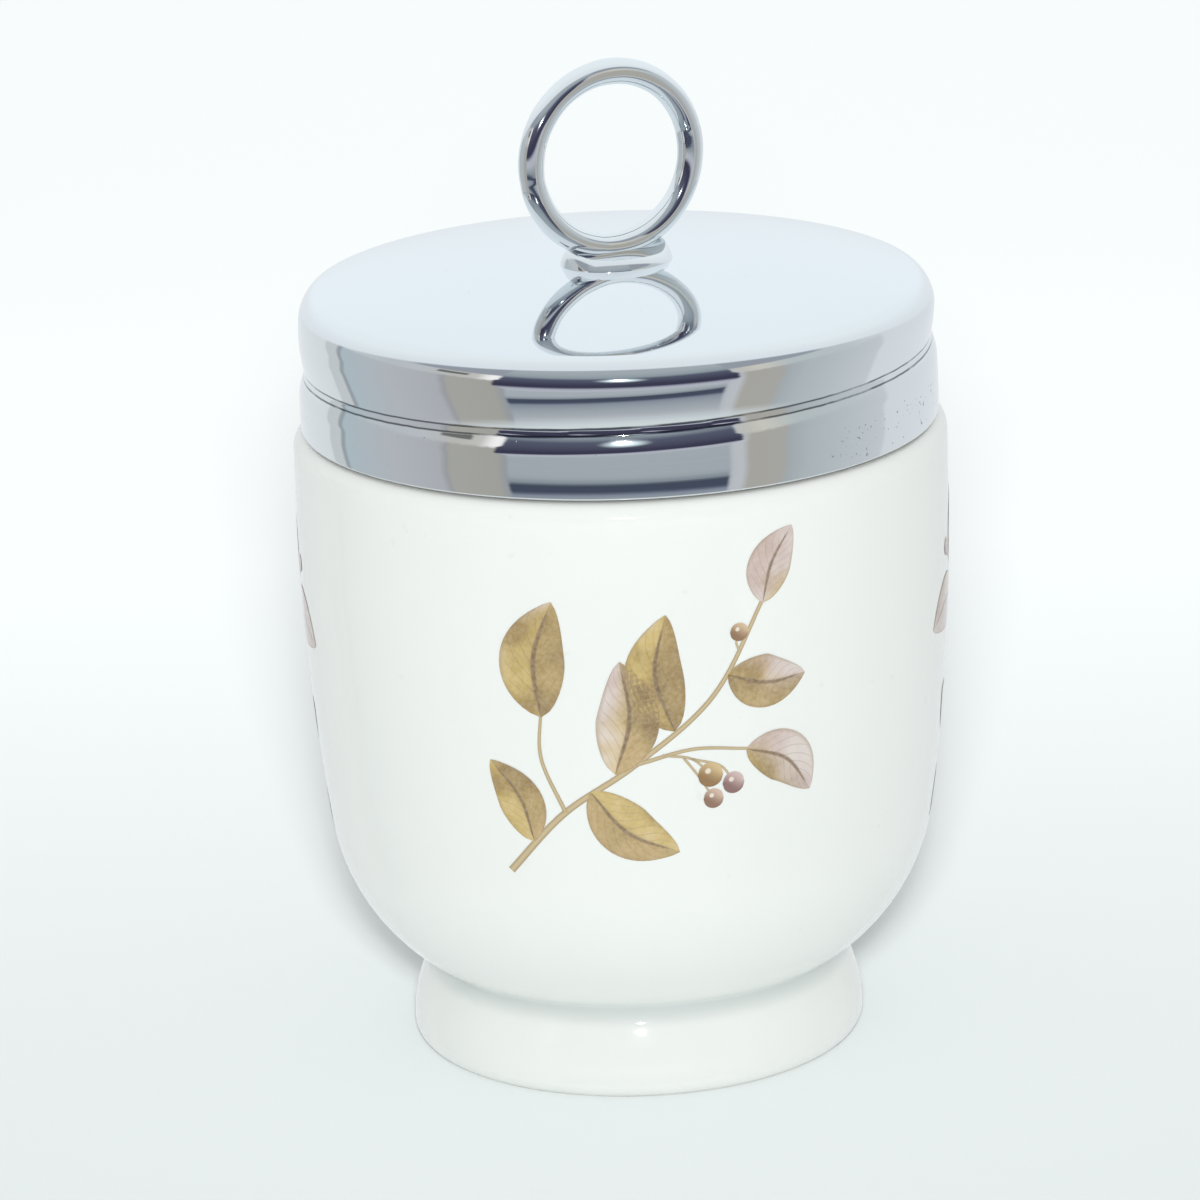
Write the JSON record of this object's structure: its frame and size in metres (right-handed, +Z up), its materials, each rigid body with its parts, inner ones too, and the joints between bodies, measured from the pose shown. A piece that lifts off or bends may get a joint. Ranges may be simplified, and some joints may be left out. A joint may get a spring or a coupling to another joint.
{
  "type": "egg coddler",
  "caption": "Lidded porcelain cup for coddling an egg, with a round foot, a screw-on chromed cap and a wire ring to lift it by.",
  "frame": {"origin": "centre of the ring on the ground that the foot stands on", "axes": "+Z up through the lid; +X to the right and +Y away as seen from the printed front"},
  "size_m": [0.065, 0.0661, 0.1002],
  "materials": {
    "porcelain": "glossy white glaze",
    "lid_plate": "bright chrome plate on pressed sheet",
    "ring_plate": "bright chrome plate on drawn wire"
  },
  "bodies": {
    "cup": {"porcelain_cup": "porcelain"},
    "washer": {"rivet_washer": "lid_plate"},
    "lid": {"lid_shell": "lid_plate", "lift_ring": "ring_plate", "handle_base": "ring_plate"}
  },
  "joints": [
    {"name": "lid_rise", "type": "slide", "parent": "cup", "child": "washer", "axis": [0, 0, 1], "range_m": [0, 0.01471]},
    {"name": "lid_unscrew", "type": "hinge", "parent": "washer", "child": "lid", "pos_m": [0, 0, 0.0722], "axis": [0, 0, 1], "range_deg": [0, 1260]}
  ],
  "couplings": [
    {"joint": "lid_rise", "follows": "lid_unscrew", "m_per_rad": 0.00066845}
  ]
}
